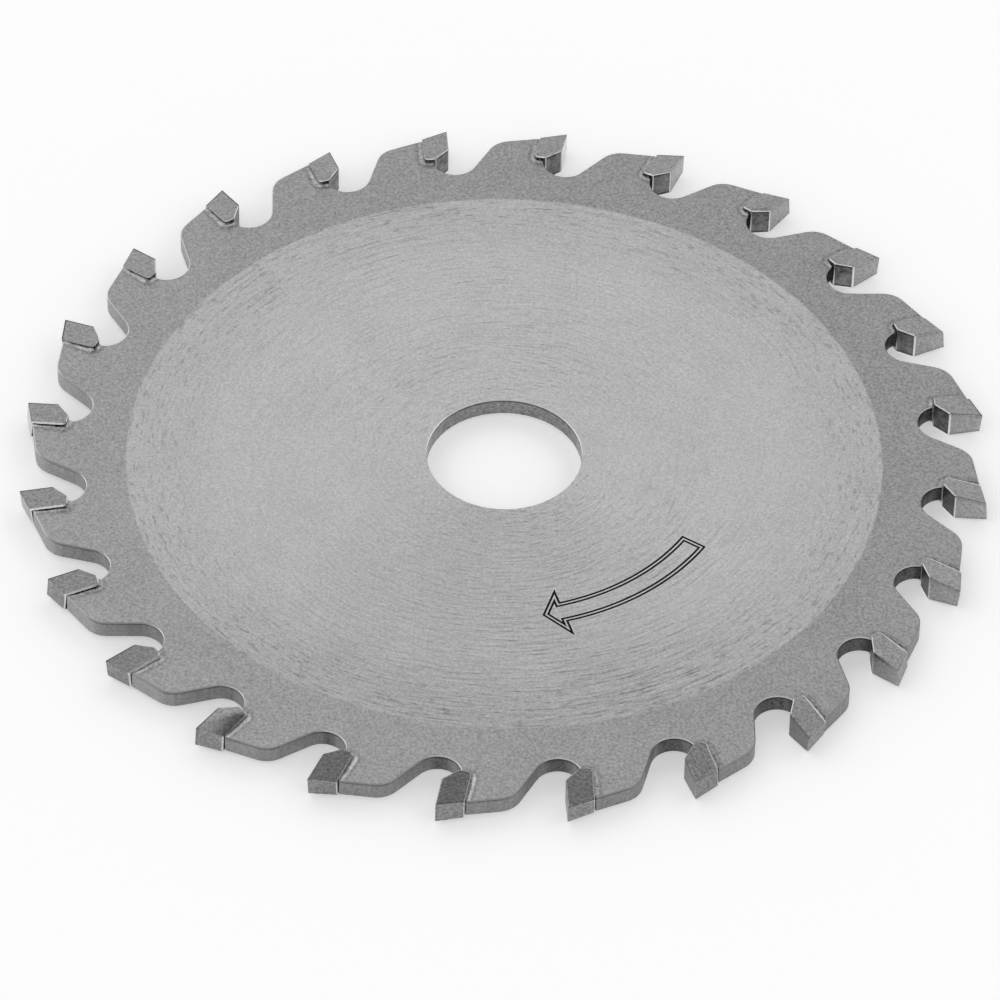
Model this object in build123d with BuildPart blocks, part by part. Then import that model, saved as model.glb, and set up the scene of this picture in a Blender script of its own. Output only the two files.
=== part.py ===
from build123d import *
from build123d.topology import SkipClean
import os
from math import cos, radians, sin, sqrt, tan

# Scoring saw blade: a flat steel plate with carbide tips brazed into seats cut in its rim.
# It lies flat. The origin is the centre of the bore, midway through the plate's thickness,
# and the bore's axis is Z. Seen from above it turns clockwise, so the rake faces look that way.
# Lengths are in millimetres and angles in degrees.
#
# One tooth is drawn pointing along +X, where X runs outward from the bore and Y runs behind
# the cutting edge. Polar copies of it make the whole rim.

# The blade as a whole
cutting_diameter = 125.0
bore_diameter = 20.0
plate_thickness = 2.5
ground_zone_diameter = 97.3
edge_break = 0.12
tooth_count = 24
first_tooth_bearing = 97.92

# Carbide tip: a small block with its nose cut off and its heel rounded, wider at its root than
# at its cutting edge, and ground to an alternate top bevel
kerf = 2.8
tip_thickness = 3.45
tip_length = 6.15
nose_chamfer = 1.85
heel_radius = 0.6
hook_angle = 3.4
top_clearance_angle = 17.6
top_bevel_angle = 4.9
side_taper_angle = 7.5
side_clearance_angle = 4.35

# Brazed joint: the film of solder between tip and seat, which ends a little below the land, and
# the bead that creeps out of it
braze_gap = 0.15
bead_width = 0.4
bead_slope_angle = 32.0
bead_drop = 0.25
film_recess = 0.25

# Tooth space: seat, round gullet, straight flank, round shoulder, and the land that rises to
# the next tip
land_step = 0.2
land_clearance_angle = 15.6
gullet_depth = 8.6
gullet_radius = 3.0
gullet_lead = 0.45
flank_angle = 53.4
shoulder_radius = 3.3

# Worked out from the sizes above
cutting_radius = cutting_diameter / 2
tooth_pitch = 360 / tooth_count
half_plate = plate_thickness / 2
half_kerf = kerf / 2
seat_corner_radius = heel_radius + braze_gap

# Length that a blank or a cutter has beyond the cut that shapes it
spare_length = 3.0


def direction(angle):
    """The unit vector in the plan at this angle from +X."""
    return Vector(cos(radians(angle)), sin(radians(angle)))


def crossing(point_a, along_a, point_b, along_b):
    """Where two straight lines in the plan cross."""
    across_b = Vector(-along_b.Y, along_b.X)
    return point_a + along_a * ((point_b - point_a).dot(across_b) / along_a.dot(across_b))


# The rake face stands on this plane's Y axis: local X runs behind it, local Y runs inward along it
inward = direction(180 - hook_angle)
behind = direction(90 - hook_angle)
cutting_corner = Vector(cutting_radius, 0)
rake_frame = Plane(origin=cutting_corner, x_dir=behind, z_dir=(0, 0, 1))

# Outer end of the tip at mid thickness, and the land of steel just below it
tip_top_line = direction(90 + top_clearance_angle)
land_line = direction(90 + land_clearance_angle)
mean_corner = cutting_corner - Vector(half_kerf * tan(radians(top_bevel_angle)), 0)
tip_back_corner = crossing(mean_corner, tip_top_line, cutting_corner + behind * tip_thickness, inward)
seat_wall = cutting_corner + behind * (tip_thickness + braze_gap)
seat_floor = cutting_corner + inward * (tip_length + braze_gap)
seat_top = crossing(tip_back_corner + inward * land_step, land_line, seat_wall, inward)
seat_corner = crossing(seat_wall, inward, seat_floor, behind)

# Gullet: its circle is cut by the seat's floor at one end and runs into the flank at the other
gullet_centre = Vector(cutting_radius - gullet_depth + gullet_radius, -gullet_lead)
centre_along_floor = (gullet_centre - seat_floor).dot(behind)
centre_off_floor = (gullet_centre - seat_floor).dot(inward)
half_chord = sqrt(gullet_radius**2 - centre_off_floor**2)
seat_lip = seat_floor + behind * (centre_along_floor + half_chord)
flank_line = direction(flank_angle - 90)
flank_foot = gullet_centre + direction(flank_angle - 180) * gullet_radius

# Before its seat is cut, a tooth of the plate reaches forward to this line above the gullet
gullet_back = gullet_centre + Vector(0, gullet_radius)
blank_corner = crossing(gullet_back, inward, seat_top, land_line)

# The land in front belongs to the next tooth, one pitch on in the direction of rotation
next_blank_corner = blank_corner.rotate(Axis.Z, -tooth_pitch)
next_land_line = land_line.rotate(Axis.Z, -tooth_pitch)
shoulder_knee = crossing(flank_foot, flank_line, next_blank_corner, next_land_line)


# Steel plate: one pitch of the blank's outline is repeated all round, extruded and its edges
# broken, and then the seats are cut
with BuildLine() as blank_pitch:
    Line(blank_corner, gullet_back)
    RadiusArc(gullet_back, flank_foot, -gullet_radius)
    FilletPolyline(flank_foot, shoulder_knee, next_blank_corner, radius=shoulder_radius)

with BuildPart() as seat_cutter:
    with BuildSketch(rake_frame.offset(-half_plate)):
        with Locations((-spare_length, -spare_length)):
            seat_width = spare_length + tip_thickness + braze_gap
            Rectangle(seat_width, spare_length + tip_length + braze_gap, align=Align.MIN)
        root_corner = vertices().group_by(Axis.Y)[-1].sort_by(Axis.X)[-1]
        fillet(root_corner, radius=seat_corner_radius)
    extrude(amount=plate_thickness)

with BuildPart() as blade_body:
    with BuildSketch():
        with BuildLine():
            with PolarLocations(0, tooth_count, start_angle=first_tooth_bearing):
                add(blank_pitch.line)
        make_face()
        Circle(bore_diameter / 2, mode=Mode.SUBTRACT)
    extrude(amount=half_plate, both=True)
    chamfer(blade_body.faces().filter_by(Axis.Z).edges(), length=edge_break)
    with PolarLocations(0, tooth_count, start_angle=first_tooth_bearing):
        add(seat_cutter.part, mode=Mode.SUBTRACT)
    # The middle keeps its ground finish and is what the clamping flanges hold, and the rim is
    # blasted. The line between them divides each side face in two, so faces aren't merged here.
    with BuildSketch():
        Circle(ground_zone_diameter / 2)
        Circle(bore_diameter / 2 + edge_break, mode=Mode.SUBTRACT)
    with SkipClean():
        extrude(amount=half_plate, both=True, clean=False)


def side_normal(side):
    """Outward normal of a tip's side face: +1 is the upper side, -1 the lower."""
    return (tan(radians(side_taper_angle)), tan(radians(side_clearance_angle)), side)


def carbide_tip(leading_side):
    """A tip whose higher corner is on the upper side (+1) or on the lower side (-1)."""
    with BuildPart() as tip:
        with BuildSketch(rake_frame):
            with Locations((0, -spare_length)):
                Rectangle(tip_thickness, spare_length + tip_length, align=Align.MIN)
            chamfer(vertices().group_by(Axis.Y)[-1].sort_by(Axis.X)[0], length=nose_chamfer)
            fillet(vertices().group_by(Axis.Y)[-1].sort_by(Axis.X)[-1], radius=heel_radius)
        extrude(amount=tip_thickness, both=True)
        for side in (1, -1):
            side_face = Plane((cutting_radius, 0, side * half_kerf), z_dir=side_normal(side))
            split(bisect_by=side_face, keep=Keep.BOTTOM)
        slope = tan(radians(top_clearance_angle))
        bevel = tan(radians(top_bevel_angle))
        high_corner = (cutting_radius, 0, leading_side * half_kerf)
        split(bisect_by=Plane(high_corner, z_dir=(1, slope, -leading_side * bevel)), keep=Keep.BOTTOM)
    return tip.part


def braze_seam(tip, plate):
    """The solder round one tip: the film in its seat, and a bead on each side face of the plate
    that grows towards the root, where the tip stands prouder."""
    reach = braze_gap + bead_width
    bead_height = reach * tan(radians(bead_slope_angle))
    # The bead's corner is cut at 45 degrees, just outside an arc that would follow the heel
    corner_leg = (heel_radius + reach) * (2 - sqrt(2))
    with BuildPart() as seam:
        for side in (1, -1):
            with BuildSketch(rake_frame.offset(side * half_plate)) as footprint:
                with Locations((nose_chamfer, 0)):
                    Rectangle(tip_thickness - nose_chamfer + reach, tip_length + reach, align=Align.MIN)
                root_corner = vertices().group_by(Axis.Y)[-1].sort_by(Axis.X)[-1]
                chamfer(root_corner, length=corner_leg)
            extrude(amount=side * bead_height, taper=90 - bead_slope_angle)
            bead_top = Plane((cutting_radius, 0, side * (half_kerf - bead_drop)), z_dir=side_normal(side))
            split(bisect_by=bead_top, keep=Keep.BOTTOM)
        extrude(footprint.sketch, amount=plate_thickness)
        film_end = seat_top + inward * film_recess
        split(bisect_by=Plane(film_end, z_dir=land_line.rotate(Axis.Z, -90)), keep=Keep.BOTTOM)
        split(bisect_by=Plane(seat_lip, z_dir=behind), keep=Keep.TOP)
        add(tip, mode=Mode.SUBTRACT)
        add(plate, rotation=(0, 0, -first_tooth_bearing), mode=Mode.SUBTRACT)
    return seam.part


os.makedirs("parts", exist_ok=True)
blade_body.part.label = "blade_body"
export_step(blade_body.part, "parts/blade_body.step")

# Odd teeth have their higher corner on the upper side, even teeth on the lower side. Teeth are
# numbered in the direction of rotation.
upper_tip = carbide_tip(1)
lower_tip = carbide_tip(-1)
seam_at_x = braze_seam(upper_tip, blade_body.part)
for number in range(1, tooth_count + 1):
    bearing = first_tooth_bearing - (number - 1) * tooth_pitch
    with BuildPart() as tip:
        add(upper_tip if number % 2 else lower_tip, rotation=(0, 0, bearing))
    with BuildPart() as seam:
        add(seam_at_x, rotation=(0, 0, bearing))
    tip.part.label = f"carbide_tip_{number:02d}"
    seam.part.label = f"braze_seam_{number:02d}"
    export_step(tip.part, f"parts/{tip.part.label}.step")
    export_step(seam.part, f"parts/{seam.part.label}.step")
print("pieces:", 1 + 2 * tooth_count)
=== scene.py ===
# %% [markdown]
# # Dressing a scoring saw blade
#
# The blade is a flat disc of steel with 24 small carbide teeth brazed into its rim. Its shape is
# already there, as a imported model, so this lesson is about finish: how ground steel, blasted
# steel, carbide and silver solder each answer the same soft light.
#
# We load the model first. Every later piece is placed from it, in metres, with the origin at the
# centre of the bore and the bore's axis along Z.

# %% Load the blade
import math

import bmesh
import bpy
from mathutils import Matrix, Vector


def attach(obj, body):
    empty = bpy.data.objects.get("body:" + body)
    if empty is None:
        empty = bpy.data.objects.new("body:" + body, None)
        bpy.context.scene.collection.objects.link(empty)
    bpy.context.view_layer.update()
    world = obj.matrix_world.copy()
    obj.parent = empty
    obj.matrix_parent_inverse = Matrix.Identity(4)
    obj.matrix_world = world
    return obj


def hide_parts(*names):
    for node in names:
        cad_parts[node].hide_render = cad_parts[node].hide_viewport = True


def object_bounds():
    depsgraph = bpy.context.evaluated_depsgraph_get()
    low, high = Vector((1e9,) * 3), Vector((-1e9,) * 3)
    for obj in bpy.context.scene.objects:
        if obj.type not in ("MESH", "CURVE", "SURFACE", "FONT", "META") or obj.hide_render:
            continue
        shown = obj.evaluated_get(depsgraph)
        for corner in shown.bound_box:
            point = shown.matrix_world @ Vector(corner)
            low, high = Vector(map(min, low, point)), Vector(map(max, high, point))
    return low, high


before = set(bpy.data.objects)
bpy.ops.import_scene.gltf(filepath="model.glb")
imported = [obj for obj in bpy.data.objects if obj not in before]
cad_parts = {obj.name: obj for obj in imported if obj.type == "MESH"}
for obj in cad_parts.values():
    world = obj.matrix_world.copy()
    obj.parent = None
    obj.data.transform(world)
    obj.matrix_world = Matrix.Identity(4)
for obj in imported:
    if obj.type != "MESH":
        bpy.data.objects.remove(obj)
solid_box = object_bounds()
mm = 0.001
tooth_count = sum(name.startswith("carbide_tip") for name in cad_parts)
lowest = solid_box[0].z
print("teeth:", tooth_count, "lowest point, mm:", round(lowest / mm, 3))


# %% [markdown]
# ## The camera
#
# The photograph looks down on the blade at nearly 45 degrees from far away with a long lens, so
# the disc is an ellipse with almost no perspective. We could place a camera by eye, but a lens
# this long punishes small errors. It is easier to give the camera's direction, its distance and
# its roll, and then slide it sideways until the bore sits where it should in the frame.

# %% Camera
camera_height_angle = math.radians(44.774)
camera_roll = math.radians(1.116)
camera_distance = 888.61 * mm
slide_right = -0.450 * mm
slide_up = -5.070 * mm
lens_length = 248.34
sensor_width = 36.0

level_right = Vector((1, 0, 0))
level_up = Vector((0, math.sin(camera_height_angle), math.cos(camera_height_angle)))
towards_camera = Vector((0, -math.cos(camera_height_angle), math.sin(camera_height_angle)))

camera_data = bpy.data.cameras.new("camera")
camera_data.lens = lens_length
camera_data.sensor_width = sensor_width
camera = bpy.data.objects.new("camera", camera_data)
camera.location = towards_camera * camera_distance + level_right * slide_right + level_up * slide_up
camera.rotation_euler = (math.pi / 2 - camera_height_angle, 0, 0)
camera.rotation_euler.rotate_axis("Z", camera_roll)
bpy.context.scene.collection.objects.link(camera)
bpy.context.scene.camera = camera
bpy.context.scene.view_settings.view_transform = "Standard"
print("camera at, mm:", [round(c / mm, 1) for c in camera.location])


# %% [markdown]
# ## A small language for finishes
#
# A finish is a sum of small effects: a line here, a speckle there, less of both near an edge. In
# the node editor that becomes a web of Math nodes. Here the same web is written as arithmetic.
# `Amount` stands for a number that varies over the surface, and adding or multiplying two of them
# adds the Math node for it. `Finish` holds one node tree and makes every other kind of node.

# %% Node helpers
class Amount:
    """What one output socket carries. Arithmetic on it adds Math nodes to its finish."""

    def __init__(self, finish, socket):
        self.finish = finish
        self.socket = socket

    def math(self, operation, *others):
        return self.finish.math(operation, self, *others)

    def __add__(self, other):
        return self.math("ADD", other)

    __radd__ = __add__

    def __sub__(self, other):
        return self.math("SUBTRACT", other)

    def __rsub__(self, other):
        return self.finish.math("SUBTRACT", other, self)

    def __mul__(self, other):
        return self.math("MULTIPLY", other)

    __rmul__ = __mul__

    def __truediv__(self, other):
        return self.math("DIVIDE", other)

    def __pow__(self, other):
        return self.math("POWER", other)

    def __abs__(self):
        return self.math("ABSOLUTE")

    def rise(self, start, end):
        """0 below start, 1 above end and a smooth step between. It falls if end is the lower."""
        settings = {"interpolation_type": "SMOOTHSTEP"}
        sockets = {"Value": self, "From Min": start, "From Max": end}
        return self.finish.node("ShaderNodeMapRange", settings, sockets)

    def within(self, half_width, softness):
        """1 where the value is nearer to zero than half_width, with a soft edge."""
        return abs(self).rise(half_width + softness, half_width - softness)


class Finish:
    """The node tree of a material or of the world."""

    def __init__(self, owner):
        self.owner = owner
        owner.use_nodes = True
        self.tree = owner.node_tree
        self.tree.nodes.clear()

    def node(self, kind, settings=None, sockets=None, output=0):
        """A new node with these settings and inputs, and what the named output carries."""
        made = self.tree.nodes.new(kind)
        for name, value in (settings or {}).items():
            setattr(made, name, value)
        for name, value in (sockets or {}).items():
            if isinstance(value, Amount):
                self.tree.links.new(value.socket, made.inputs[name])
            else:
                made.inputs[name].default_value = value
        return Amount(self, made.outputs[output] if made.outputs else None)

    def math(self, operation, *values):
        return self.node("ShaderNodeMath", {"operation": operation}, dict(enumerate(values)))

    def vector(self, x, y, z):
        return self.node("ShaderNodeCombineXYZ", sockets={"X": x, "Y": y, "Z": z})

    def parts(self, vector):
        """The three parts of a vector, as a list."""
        sockets = {"Vector": vector}
        return [self.node("ShaderNodeSeparateXYZ", sockets=sockets, output=i) for i in range(3)]

    def grain(self, place, scale, detail=2.0, roughness=0.5):
        """Noise about 0, from roughly -0.5 to 0.5, with features about 1 / scale across."""
        sockets = {"Vector": place, "Scale": scale, "Detail": detail, "Roughness": roughness}
        return self.node("ShaderNodeTexNoise", sockets=sockets) - 0.5


# %% [markdown]
# ## Where a point is on the blade
#
# Most marks on a saw blade follow its shape. Grinding lines run round the bore, the blasted zone
# starts at one radius, and whatever happens near one tooth happens near all of them. So each
# finish begins by turning its place into numbers that say this: the distance from the axis, the
# direction round it, and, for the teeth, a pair of lengths measured from the nearest tip.
#
# The teeth also answer the light one by one, as each leans its faces another way. What shines on one
# side of the disc is dull on the other, so a finish can also ask which way the tooth points, and
# paints light and shade by it.

# %% Blade coordinates
# Sizes of the model, in millimetres
cutting_radius = 62.5
half_plate = 1.25
half_kerf = 1.4
tip_thickness = 3.45
tip_length = 6.15
heel_radius = 0.6
first_tooth_bearing = math.radians(97.92)
tooth_pitch = 2 * math.pi / tooth_count
hook_angle = math.radians(3.4)
top_clearance_angle = math.radians(17.6)
side_taper_angle = math.radians(7.5)
side_clearance_angle = math.radians(4.35)
# How far from the tip the crest of the solder bead lies, and the foot of it
bead_crest = 0.34
bead_foot = 0.80
# Keeps the slant of a level face above nothing, because it is divided by
least_slant = 0.01
print("tooth pitch, degrees:", round(math.degrees(tooth_pitch), 2))


class BladeFinish(Finish):
    """A material finish that knows where each of its points lies on the blade, in millimetres.
    facing is the direction that the surface faces, flatness how nearly it lies level, and slant
    how much it leans sideways."""

    def __init__(self, name):
        super().__init__(bpy.data.materials.new(name))
        coordinates = self.node("ShaderNodeTexCoord", output="Object")
        sockets = {0: coordinates, 3: 1 / mm}
        self.place = self.node("ShaderNodeVectorMath", {"operation": "SCALE"}, sockets)
        self.x, self.y, self.z = self.parts(self.place)
        self.radius = (self.x * self.x + self.y * self.y) ** 0.5
        self.facing = self.parts(self.node("ShaderNodeTexCoord", output="Normal"))
        self.flatness = abs(self.facing[2])
        self.slant = (1 - self.flatness * self.flatness).math("MAXIMUM", least_slant) ** 0.5
        self.find_nearest_tip()

    def round_the_axis(self, along, across):
        """A place for noise that draws long streaks round the bore: along is how often they
        change per radian, and across how often per millimetre of radius."""
        round_x = self.x / self.radius * along
        round_y = self.y / self.radius * along
        return self.vector(round_x, round_y, self.radius * across)

    def find_nearest_tip(self):
        """Lengths measured from the middle of the nearest tip's cutting edge, seen from above: out
        along the tooth and across it, then the same place as behind and inward from the rake face,
        and how far the point lies outside the tip, whose heel is round. past_back is 1 beside the
        tip's back and 0 beyond its root."""
        bearing = self.y.math("ARCTAN2", self.x)
        turns = (first_tooth_bearing - bearing) / tooth_pitch
        offset = (turns.math("ROUND") - turns) * tooth_pitch
        self.out = self.radius * offset.math("COSINE") - cutting_radius
        self.across = self.radius * offset.math("SINE")
        self.behind = self.out * math.sin(hook_angle) + self.across * math.cos(hook_angle)
        self.inward = self.across * math.sin(hook_angle) - self.out * math.cos(hook_angle)
        side = abs(self.behind - tip_thickness / 2) - tip_thickness / 2 + heel_radius
        root = self.inward - tip_length + heel_radius
        self.past_back = (side - root).rise(-0.2, 0.2)
        side = side.math("MAXIMUM", 0.0)
        root = root.math("MAXIMUM", 0.0)
        self.from_tip = ((side * side + root * root) ** 0.5 - heel_radius).math("MAXIMUM", 0.0)

    def tooth_towards(self, degrees):
        """How nearly the tooth points in this direction, as the cosine of the angle between. 0 is
        to the right in the photograph, 90 is away from the viewer and -90 towards the viewer."""
        angle = math.radians(degrees)
        return (self.x * math.cos(angle) + self.y * math.sin(angle)) / self.radius

    def outward(self):
        """How much a face looks away from the bore, from 1 to -1."""
        return (self.facing[0] * self.x + self.facing[1] * self.y) / self.radius

    def backward(self):
        """How much a face looks against the direction of rotation, from 1 to -1."""
        return (self.facing[1] * self.x - self.facing[0] * self.y) / self.radius

    def solder_shade(self, blotch):
        """Painted light on the crest of the solder bead beside a tip, and painted shade in the groove
        next to the tip and where the bead's foot ends on the plate, all broken up by the blotches.
        How strong each is depends on the side of the disc, as the light falls there."""
        left_back = self.past_back * self.tooth_towards(190).rise(0.88, 0.94)
        upper_root = (1 - self.past_back) * self.tooth_towards(90).rise(0.0, 0.4)
        right_back = self.past_back * self.tooth_towards(-30).rise(0.75, 0.90)
        lower_back = self.past_back * self.tooth_towards(-112).rise(0.80, 0.95)
        groove = self.from_tip.rise(0.30, 0.16) * (left_back + upper_root + lower_back * 0.4)
        upper_left = self.tooth_towards(150).rise(0.6, 0.9)
        crest = self.from_tip - bead_crest - lower_back * 0.08
        crest = crest.within(0.12 + lower_back * 0.04, 0.14)
        foot = (self.from_tip - bead_foot).within(0.10, 0.22)
        light = 0.08 + lower_back * 0.19 + upper_left * 0.08 - right_back * 0.24
        light = light + blotch * (0.3 + upper_left * 0.5)
        return crest * light - groove * 0.30 - foot * (0.10 + blotch * 0.4)

    def blast_speckle(self):
        """The fine mottle that blasting leaves, about 0."""
        return self.grain(self.place, 3.0, detail=2.0, roughness=0.5)

    def close(self, colour, roughness, normal):
        """Ends the tree in a metal surface and hands back the material."""
        sockets = {"Base Color": colour, "Roughness": roughness, "Metallic": 1.0, "Normal": normal}
        surface = self.node("ShaderNodeBsdfPrincipled", sockets=sockets)
        self.node("ShaderNodeOutputMaterial", sockets={"Surface": surface})
        print("finish", self.owner.name, "nodes:", len(self.tree.nodes))
        return self.owner

    def relief(self, height, depth):
        """A bump of this depth in millimetres."""
        sockets = {"Height": height, "Distance": depth * mm, "Strength": 1.0}
        return self.node("ShaderNodeBump", sockets=sockets)


# %% [markdown]
# ## The rotation arrow
#
# An outlined arrow is etched on one side to show which way the blade turns. It could be thin
# geometry lying on the steel, but an etched mark has no height to speak of, so it belongs to the
# finish. One trick draws it: reckon the distance from any point to the arrow's outline, counted
# inward. Two thin bands of that distance are the two etched lines, and their corners come out
# sharp by themselves.

# %% Arrow mark
arrow_centre = (-1.34, 0.42)
arrow_radius = 30.04
arrow_half_width = 1.63
arrow_tail_bearing = math.radians(-32.3)
arrow_tip = Vector((5.32, -28.83))
arrow_barbs = (Vector((6.63, -24.70)), Vector((8.99, -31.89)))
arrow_shaft_reach = 1.35
etched_line_width = 0.29
etched_line_spacing = 0.50
etched_line_blur = 0.03
print("arrow's tip from the axis, mm:", round(arrow_tip.length, 2))


def side_of_line(finish, start, end, inside):
    """How far a point lies past the line from start to end, on the side away from inside."""
    along = (end - start).normalized()
    across = Vector((-along.y, along.x))
    if (inside - start).dot(across) > 0:
        across = -across
    return finish.x * across.x + finish.y * across.y - start.dot(across)


def arrow_depth(finish):
    """How far inside the arrow's outline a point of the plate lies."""
    middle = (arrow_barbs[0] + arrow_barbs[1] + arrow_tip) / 3
    head_sides = (
        side_of_line(finish, arrow_tip, arrow_barbs[0], middle),
        side_of_line(finish, arrow_tip, arrow_barbs[1], middle),
        side_of_line(finish, arrow_barbs[0], arrow_barbs[1], middle),
    )
    head = head_sides[0].math("MAXIMUM", head_sides[1]).math("MAXIMUM", head_sides[2])
    from_centre_x = finish.x - arrow_centre[0]
    from_centre_y = finish.y - arrow_centre[1]
    arc_radius = (from_centre_x * from_centre_x + from_centre_y * from_centre_y) ** 0.5
    beside_arc = abs(arc_radius - arrow_radius) - arrow_half_width
    tail_direction = Vector((math.cos(arrow_tail_bearing), math.sin(arrow_tail_bearing)))
    tail_start = tail_direction * arrow_radius
    past_tail = side_of_line(finish, tail_start, tail_start + tail_direction, middle)
    past_head = -arrow_shaft_reach - head_sides[2]
    shaft = beside_arc.math("MAXIMUM", past_tail).math("MAXIMUM", past_head)
    return head.math("MINIMUM", shaft) * -1


def etched_arrow(finish, extra_width=0.0):
    """1 on the etched lines of the arrow, on the upper side of the plate only."""
    depth = arrow_depth(finish)
    half_line = etched_line_width / 2 + extra_width
    outer_line = depth.within(half_line, etched_line_blur)
    inner_line = (depth - etched_line_spacing).within(half_line, etched_line_blur)
    on_upper_side = finish.z.rise(half_plate - 0.15, half_plate - 0.05)
    return outer_line.math("MAXIMUM", inner_line) * on_upper_side


# %% [markdown]
# ## Steel plate: the ground middle
#
# The plate carries three finishes, and each gets a function of its own. The first is the middle,
# which was ground on a rotary table. The wheel leaves fine lines round the bore, and here and
# there a bolder one. A single noise, squeezed along the radius and stretched round the axis, gives
# such a set of lines, and it both darkens the steel and lifts its surface.

# %% Ground middle
ground_grey = 0.53
ground_radius = 48.65
ground_border_blur = 0.15
# Between these radii the stray grit grows from none to most
grit_radii = (35.0, 47.0)


def ground_middle(steel, cloud):
    """The tone of the ground middle, its relief, and its fine lines on their own."""
    fine_lines = steel.grain(steel.round_the_axis(9.0, 2.0), 1.0, detail=1.5, roughness=0.5)
    bold_lines = steel.grain(steel.round_the_axis(6.0, 1.2), 1.0, detail=1.5, roughness=0.5)
    scratches = steel.grain(steel.round_the_axis(5.0, 2.4), 1.0, detail=1.0).rise(0.14, 0.24)
    patches = steel.grain(steel.place, 0.06, detail=1.0).rise(-0.15, 0.20)
    fine_grain = steel.grain(steel.place, 3.0, detail=2.0, roughness=0.6)
    # Stray grit reached the outer part of the middle and left short pits in its lines
    strayed = steel.radius.rise(*grit_radii)
    pits = steel.grain(steel.round_the_axis(30.0, 2.8), 1.0, detail=2.0).rise(0.04, 0.20)
    # Painted shade: the side nearest the viewer is a little darker
    painted_near_shade = steel.tooth_towards(-92).rise(0.5, 1.0)
    tone = ground_grey + fine_lines * 0.06 + bold_lines * patches * 0.06 + cloud * 0.10
    tone = tone + fine_grain * 0.40 - scratches * patches * 0.06
    tone = tone - strayed * (0.035 + pits * 0.14) - painted_near_shade * 0.045
    height = fine_lines * 0.55 + patches * (bold_lines * 0.80 - scratches * 0.25)
    return tone, height, fine_lines


# %% [markdown]
# ## Steel plate: the blasted rim
#
# The rim was blasted after the tips were brazed in, which leaves an even, darker, speckled grey over
# steel and solder alike. Flux has left a dull stain round each joint, made wider and darker by a
# painted contact shadow, and the solder's bead beside each tip gets a painted line of light and a
# painted line of shade.

# %% Blasted rim
rim_grey = 0.410


def blasted_rim(steel, cloud, speckle):
    """The tone of the rim. It is painted a little lighter towards the near left, where more light
    falls.
    """
    blotch = steel.grain(steel.place, 1.4, detail=3.0, roughness=0.7)
    # A dull stain round each joint, widened by a painted contact shadow
    stain_and_shadow = (steel.from_tip + blotch * 2.5).rise(1.0, 0.1)
    # Painted light: the rim is a little lighter towards the near left
    lean = (steel.x + steel.y) / steel.radius
    tone = rim_grey + speckle * 0.50 + blotch * 0.10 + cloud * 0.08
    tone = tone - lean * 0.022 - stain_and_shadow * 0.09
    # The bead's painted light and shade, also on the steel round it
    return tone + steel.solder_shade(blotch)


# %% [markdown]
# ## Steel plate: the cut walls
#
# The walls of the bore and the gullets are darker still, with faint streaks straight across the
# thickness. Their light and shade are painted: a wall is painted dark at the bottom of the gullet,
# where little light gets in, and lighter up its flank, along the land and where it faces left. A line
# of painted shade runs just under its edge. The broken edges get painted glints, and are painted
# darker where they face away. The wall of the bore is rough, with the marks of the tool that cut it.

# %% Cut walls
wall_grey = 0.14
wall_edge_grey = 0.55
bore_radius = 10.0
# The land begins between the first two radii, and the gullet ends between the other two
land_radii = (57.0, 60.0)
gullet_radii = (59.0, 57.0)


def cut_walls(steel, speckle):
    """The tone of the walls, and that of the broken edges between them and the sides, each with
    painted light and shade.
    """
    streaks = steel.grain(steel.vector(steel.x, steel.y, steel.z * 0.15), 2.0, detail=3.0)
    squeezed = steel.vector(steel.x, steel.y, steel.z * 2.0)
    tool_marks = steel.grain(squeezed, 1.6, detail=3.0, roughness=0.6)
    on_land = steel.radius.rise(*land_radii)
    # Painted light: a wall is lighter where it looks out of its gullet and along the land
    open_wall = steel.backward().rise(0.1, 0.6).math("MAXIMUM", on_land)
    in_bore = steel.radius.rise(bore_radius + 1.0, bore_radius + 0.5)
    in_gullet = steel.radius.rise(*gullet_radii) * (1 - in_bore)
    # Painted light on walls that face left, painted shade on gullet walls that face right and next to
    # the tip
    painted_light_side = (steel.facing[0] * -1).rise(0.15, 0.75) * (1 - in_bore)
    painted_shade_side = steel.facing[0].rise(0.75, 1.0) * in_gullet
    painted_shade_by_tip = steel.from_tip.rise(1.5, 0.3) * in_gullet
    # Painted shade: a line just under the upper edge, stronger deep in the gullet and on lands that
    # face the viewer
    near_land = open_wall * (steel.facing[1] * -1).rise(0.80, 0.93)
    under_edge = 0.15 + (1 - open_wall) * 0.42 + near_land * 0.25
    under_edge = under_edge * steel.z.rise(half_plate - 0.50, half_plate - 0.27)
    wall_tone = wall_grey + open_wall * (0.13 - painted_light_side * 0.06)
    wall_tone = wall_tone + painted_light_side * 0.17 - painted_shade_side * 0.15 + in_bore * 0.11
    wall_tone = wall_tone + streaks * 0.12 + speckle * 0.26 + in_bore * tool_marks * 0.45
    wall_tone = wall_tone * (1 - under_edge) * (1 - painted_shade_by_tip * 0.6)
    # A broken edge gets a painted glint where it faces left, and in the bore also where it faces
    # right. It is painted darker above an open wall, and where it faces away.
    painted_far_edge_shade = steel.facing[1].rise(0.2, 0.5)
    facing_x = steel.facing[0] / steel.slant
    painted_glint = (facing_x * -1).rise(0.6, 0.95)
    painted_glint = painted_glint.math("MAXIMUM", in_bore * facing_x.rise(0.6, 0.95))
    edge_tone = (wall_edge_grey - open_wall * 0.25 + painted_glint * 0.35) * (1 - painted_far_edge_shade * 0.7)
    return wall_tone, edge_tone


# %% [markdown]
# ## Steel plate: putting it together
#
# What lies level is a side, what stands at 45 degrees is a broken edge, and the rest is wall. On a
# side, the distance from the axis tells ground from blasted. The etched lines come last: they are
# nearly black, and the heat has left a pale margin along them.

# %% Plate finish
edge_flatness = math.cos(math.radians(45))
etched_margin = 0.13


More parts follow.
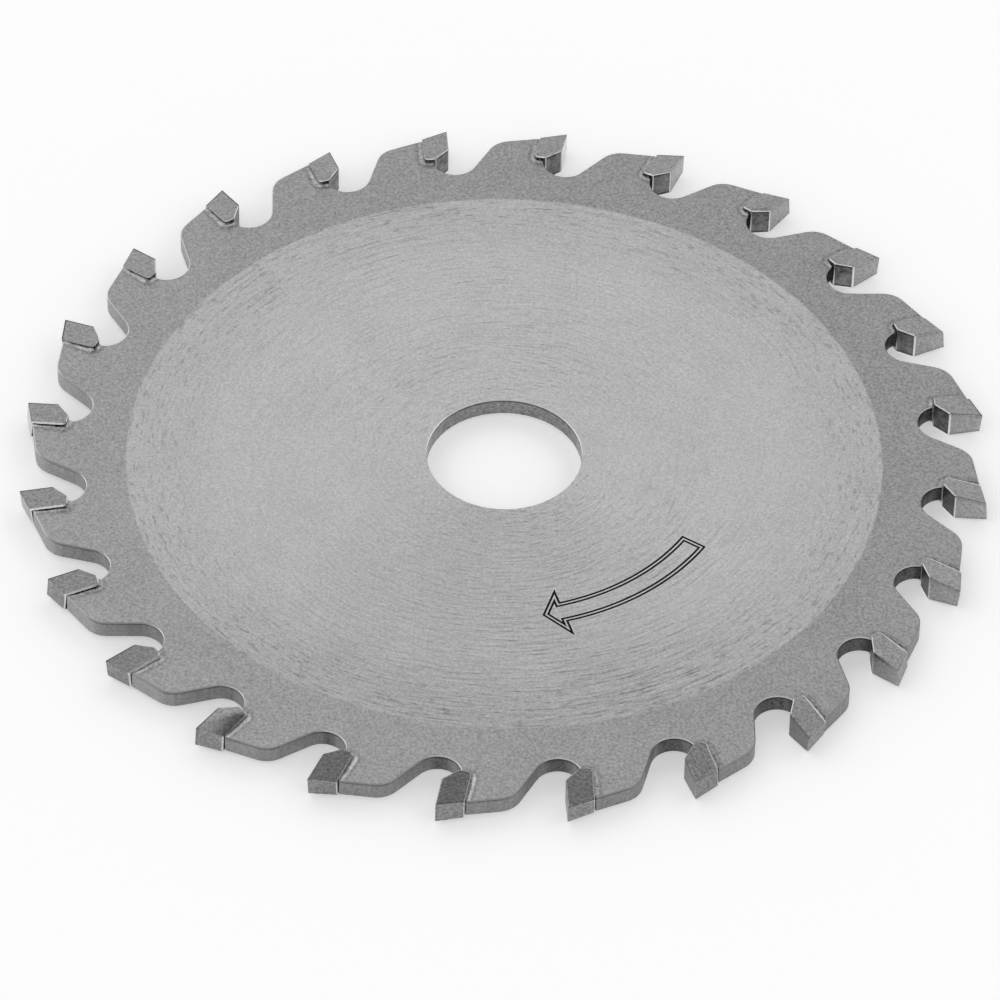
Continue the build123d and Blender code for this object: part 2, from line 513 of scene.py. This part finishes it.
def plate_finish():
    steel = BladeFinish("plate_steel_finish")
    on_side = steel.flatness.rise(0.85, 0.95)
    on_edge = (steel.flatness - edge_flatness).within(0.10, 0.04)
    ground = steel.radius.rise(ground_radius + ground_border_blur, ground_radius - ground_border_blur)
    cloud = steel.grain(steel.place, 0.10, detail=4.0, roughness=0.6)
    speckle = steel.blast_speckle()
    ground_tone, ground_height, fine_lines = ground_middle(steel, cloud)
    rim_tone = blasted_rim(steel, cloud, speckle)
    wall_tone, edge_tone = cut_walls(steel, speckle)

    etched = etched_arrow(steel)
    margin = etched_arrow(steel, etched_margin) - etched
    side_tone = ground * ground_tone + (1 - ground) * rim_tone
    side_tone = side_tone * (1 - etched * 0.98 + margin * 0.14)
    tone = on_side * side_tone + (1 - on_side) * (on_edge * edge_tone + (1 - on_edge) * wall_tone)
    roughness = 0.30 + fine_lines * 0.10 + (1 - ground) * 0.14 + etched * 0.2
    height = ground * ground_height + (1 - ground) * speckle * 0.3 - etched * 0.1
    return steel.close(tone, roughness, steel.relief(height, 0.10))


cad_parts["blade_body"].material_slots[0].material = plate_finish()


# %% [markdown]
# ## Carbide tips
#
# A tip is a block of sintered carbide. Its cutting face, its outer face and its two flanks are
# ground bright, and the faces towards the gullet and the seat stay dark, as they left the
# furnace. In the model its edges are perfectly sharp. Real edges are never quite, and their thin
# bright lines are what makes a hard, ground block look like one. So we copy each tip's mesh, join
# its faces up, break its sharp edges by about a tenth of a millimetre and let the copy stand in.

# %% Tips with broken edges
tip_edge_width = 0.14
sharp_edge_angle = math.radians(25)
flat_join_angle = math.radians(1)


def ground_tip(name):
    """A copy of a tip from the model, with its sharp edges broken. Each face notes whether it is
    one of the narrow edge faces."""
    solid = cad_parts[name]
    shape = bmesh.new()
    shape.from_mesh(solid.data)
    bmesh.ops.remove_doubles(shape, verts=shape.verts, dist=0.001 * mm)
    edges = shape.edges[:]
    bmesh.ops.dissolve_limit(shape, angle_limit=flat_join_angle, verts=shape.verts, edges=edges)
    on_edge = shape.faces.layers.float.new("on_edge")
    sharp = [edge for edge in shape.edges if edge.calc_face_angle(0) > sharp_edge_angle]
    broken = bmesh.ops.bevel(
        shape,
        geom=sharp,
        offset=tip_edge_width * mm,
        segments=2,
        profile=0.5,
        affect="EDGES",
        clamp_overlap=True,
    )
    for face in broken["faces"]:
        face[on_edge] = 1.0
    mesh = bpy.data.meshes.new(name.replace("carbide_tip", "ground_tip"))
    shape.to_mesh(mesh)
    shape.free()
    return mesh


# %% [markdown]
# ## Which face of a tip is which
#
# All 24 tips share one finish, so the finish has to find out for itself which face it is on. The
# way that a face looks says so: away from the bore is the outer face, against the rotation is the
# back, along the rotation is the cutting face, and towards the bore is the root or the nose.

# %% Faces and edges of a tip
class CarbideFinish(BladeFinish):
    """A finish that knows which face or edge of a tip each point lies on, as amounts up to 1."""

    def __init__(self, name):
        super().__init__(name)
        self.looks_out = self.outward() / self.slant
        self.looks_back = self.backward() / self.slant
        self.looks_x = self.facing[0] / self.slant
        self.looks_y = self.facing[1] / self.slant
        self.on_edge = self.node("ShaderNodeAttribute", {"attribute_name": "on_edge"}, output="Fac")
        self.upright = self.flatness.rise(0.30, 0.15)
        self.wall = self.upright * (1 - self.on_edge)
        self.backed = self.looks_back.rise(0.45, 0.65) * self.wall
        self.cutting = self.looks_back.rise(-0.75, -0.90) * self.wall
        self.sintered = self.looks_out.rise(-0.40, -0.60) * self.wall
        self.on_top = self.looks_out.rise(0.7, 0.9) * self.wall

    def painted_edge_highlights(self):
        """Painted highlights on the edges. Round a side face, those of the nose and root are painted
        bright where they face the viewer, and those of the back only on some teeth. Of the upright
        ones, the one between outer face and back is painted bright, and so is any that faces the
        viewer."""
        at_root = self.looks_out.rise(-0.25, -0.5) * self.looks_y.rise(0.4, 0.1) * 0.9
        right_back = self.tooth_towards(-30).rise(0.78, 0.90)
        left_back = self.tooth_towards(200).rise(0.84, 0.95)
        back_shine = right_back + left_back
        side_edge = at_root + self.looks_back.rise(0.55, 0.75) * back_shine
        side_edge = side_edge.math("MINIMUM", 1.0)
        outer_back = self.looks_out.rise(0.2, 0.4) * self.looks_back.rise(0.2, 0.4)
        outer_back = outer_back * self.looks_y.rise(0.1, -0.2) * 0.6
        front_corner = self.looks_back.rise(-0.3, -0.5) * self.looks_out.rise(0.1, -0.3)
        front_corner = front_corner * self.looks_y.rise(-0.7, -0.9)
        upright_edge = outer_back.math("MAXIMUM", front_corner)
        shining = self.on_edge * (self.upright * upright_edge + (1 - self.upright) * side_edge)
        # A painted highlight also runs along the back of the side face on those teeth
        back_strip = (tip_thickness - self.behind).rise(0.26, 0.14) * (1 - self.upright)
        back_strip = back_strip * back_shine * (0.8 - self.inward.rise(4.5, 6.0) * 0.5)
        return shining.math("MAXIMUM", back_strip)

    def painted_shade_lines(self):
        """Thin lines of painted shade on a side face, inside those of its edges that face away."""
        outer_depth = self.out * -math.cos(top_clearance_angle)
        outer_depth = outer_depth - self.across * math.sin(top_clearance_angle)
        outer_line = outer_depth.rise(0.30, 0.14) * self.tooth_towards(90).rise(-0.25, 0.10)
        rake_line = self.behind.rise(0.30, 0.14) * self.tooth_towards(180).rise(0.25, 0.55)
        return outer_line.math("MAXIMUM", rake_line) * (1 - self.upright)

    def shade_under_edges(self):
        """Shade on the upright faces, just below the side face that overhangs them."""
        side_height = half_kerf - self.out * math.tan(side_taper_angle)
        side_height = side_height - self.across * math.tan(side_clearance_angle)
        below = side_height - abs(self.z)
        return below.rise(0.60, 0.20) * (self.sintered * 0.6 + self.cutting * 0.2)


# %% [markdown]
# ## The carbide itself
#
# Ground carbide is a satin, slightly dark grey with the speckle of the blasting that the whole rim
# got. The furnace skin of the nose and root is mottled and dark. An outer face that looks straight
# left gets a painted glare, and so does a cutting face that looks right, while one that looks left
# into its own gullet gets painted shade. Painted highlights line the edges, and painted shade lies
# under the side faces and along the edges that face away.

# %% Carbide finish
carbide_grey = 0.330


def carbide_finish():
    carbide = CarbideFinish("carbide_finish")
    speckle = carbide.blast_speckle()
    mottle = carbide.grain(carbide.place, 0.9, detail=2.0, roughness=0.5)
    batch = carbide.grain(carbide.place, 0.07, detail=1.0)
    tone = carbide_grey + speckle * 0.46 + batch * 0.08
    tone = tone + carbide.cutting * 0.035 - carbide.on_top * 0.07
    # Painted highlight: edge faces are a little lighter, and those that look out a little darker
    tone = tone + carbide.on_edge * (0.04 - carbide.looks_out.rise(0.5, 0.8) * 0.10)
    tone = tone + carbide.painted_edge_highlights() * 0.56
    # Painted glare on outer faces that look left and cutting faces that look right
    glare_left = (carbide.looks_x * -1).rise(0.86, 0.98) * carbide.on_top
    glare_right = carbide.looks_x.rise(0.90, 0.98) * carbide.cutting
    tone = tone + (glare_left + glare_right) * 0.35
    tone = tone - carbide.sintered * (0.10 - mottle * 0.45 + speckle * 0.15)
    # The back is dark, but on the nearest teeth it is painted as light as the rest, and on the one at
    # the near left it gets a painted highlight
    near_back = carbide.tooth_towards(-105).rise(0.72, 0.86)
    lit_back = carbide.tooth_towards(-138).rise(0.96, 0.985)
    tone = tone - carbide.backed * (0.30 - near_back * 0.28) + carbide.backed * lit_back * 0.35
    # Painted shade on a cutting face that looks left into its gullet
    in_shade = (carbide.looks_x * -1).rise(0.25, 0.90) * carbide.looks_back.rise(-0.3, -0.6)
    in_shade = in_shade * carbide.wall
    tone = tone * (1 - in_shade * 0.50) * (1 - carbide.shade_under_edges())
    tone = tone * (1 - carbide.painted_shade_lines() * 0.72)
    roughness = 0.28 + carbide.sintered * 0.16
    height = speckle * 0.3 + carbide.sintered * mottle
    return carbide.close(tone, roughness, carbide.relief(height, 0.10))


carbide_material = carbide_finish()
for number in range(1, tooth_count + 1):
    node_name = f"carbide_tip_{number:02d}"
    mesh = ground_tip(node_name)
    mesh.materials.append(carbide_material)
    tip = bpy.data.objects.new(mesh.name, mesh)
    bpy.context.scene.collection.objects.link(tip)
    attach(tip, "root")
    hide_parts(node_name)
print("tips:", tooth_count, "faces on the last one:", len(mesh.polygons))


# %% [markdown]
# ## Silver solder
#
# The solder shows as a narrow bead along the back and root of each tip. It was blasted with the
# rim, so it has the steel's dull grey and speckle, over the small lumps it froze with.

# %% Solder finish
solder_grey = 0.38


def solder_finish():
    solder = BladeFinish("silver_solder_finish")
    lumps = solder.grain(solder.place, 1.8, detail=2.0)
    speckle = solder.blast_speckle()
    # solder_shade paints light on the bead's crest and shade in its groove and at its foot
    tone = solder_grey + solder.solder_shade(lumps) + lumps * 0.20 + speckle * 0.50
    roughness = 0.40 + lumps * 0.20
    return solder.close(tone, roughness, solder.relief(lumps, 0.15))


solder_material = solder_finish()
for name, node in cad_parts.items():
    if name.startswith("braze_seam"):
        node.material_slots[0].material = solder_material


# %% [markdown]
# ## Floor, backdrop and light
#
# Polished and ground metal has hardly any colour of its own: it shows what stands round it. The
# photograph was lit by a wide soft light behind the blade, at the height that the level sides
# mirror into the camera. Above it there is less light, least of all on the right, and below it a
# little less, so tips whose sides lean away from that band are darker. A world whose brightness
# depends on height gives that at once.

# %% Light
full_light = 1.25


def light_world():
    world = bpy.data.worlds.new("studio")
    sky = Finish(world)
    direction = sky.parts(sky.node("ShaderNodeTexCoord", output="Generated"))
    height = direction[2]
    above = height.rise(0.745, 0.80)
    high_on_the_right = height.rise(0.79, 0.88) * direction[0].rise(-0.10, 0.0)
    below = height.rise(0.66, 0.52)
    level = full_light - above * 0.38 - high_on_the_right * 0.72 - below * 0.20
    background = sky.node("ShaderNodeBackground", sockets={"Strength": level})
    sky.node("ShaderNodeOutputWorld", sockets={"Surface": background})
    bpy.context.scene.world = world
    print("world nodes:", len(sky.tree.nodes))


light_world()


# %% [markdown]
# The floor is white paper. The camera sees it a little brighter than the light makes it, so that
# it runs into the white background and still keeps a faint shadow under the blade.

# %% Floor
floor_size = 60.0
floor_colour = 0.88
floor_lift = 0.34


def lay_floor():
    mesh = bpy.data.meshes.new("floor")
    half = floor_size / 2
    corners = ((-half, -half), (half, -half), (half, half), (-half, half))
    mesh.from_pydata([(x, y, lowest) for x, y in corners], [], [(0, 1, 2, 3)])
    paper = Finish(bpy.data.materials.new("white_paper"))
    grey = (floor_colour, floor_colour, floor_colour, 1)
    matt = paper.node("ShaderNodeBsdfDiffuse", sockets={"Color": grey})
    seen = [
        paper.node("ShaderNodeLightPath", output=ray)
        for ray in ("Is Camera Ray", "Is Glossy Ray", "Is Transmission Ray")
    ]
    looked_at = seen[0].math("MAXIMUM", seen[1]).math("MAXIMUM", seen[2])
    lift = paper.node("ShaderNodeEmission", sockets={"Strength": looked_at * floor_lift})
    both = paper.node("ShaderNodeAddShader", sockets={0: matt, 1: lift})
    paper.node("ShaderNodeOutputMaterial", sockets={"Surface": both})
    mesh.materials.append(paper.owner)
    floor = bpy.data.objects.new("floor", mesh)
    bpy.context.scene.collection.objects.link(floor)


lay_floor()
print("floor lies at, mm:", round(lowest / mm, 3))
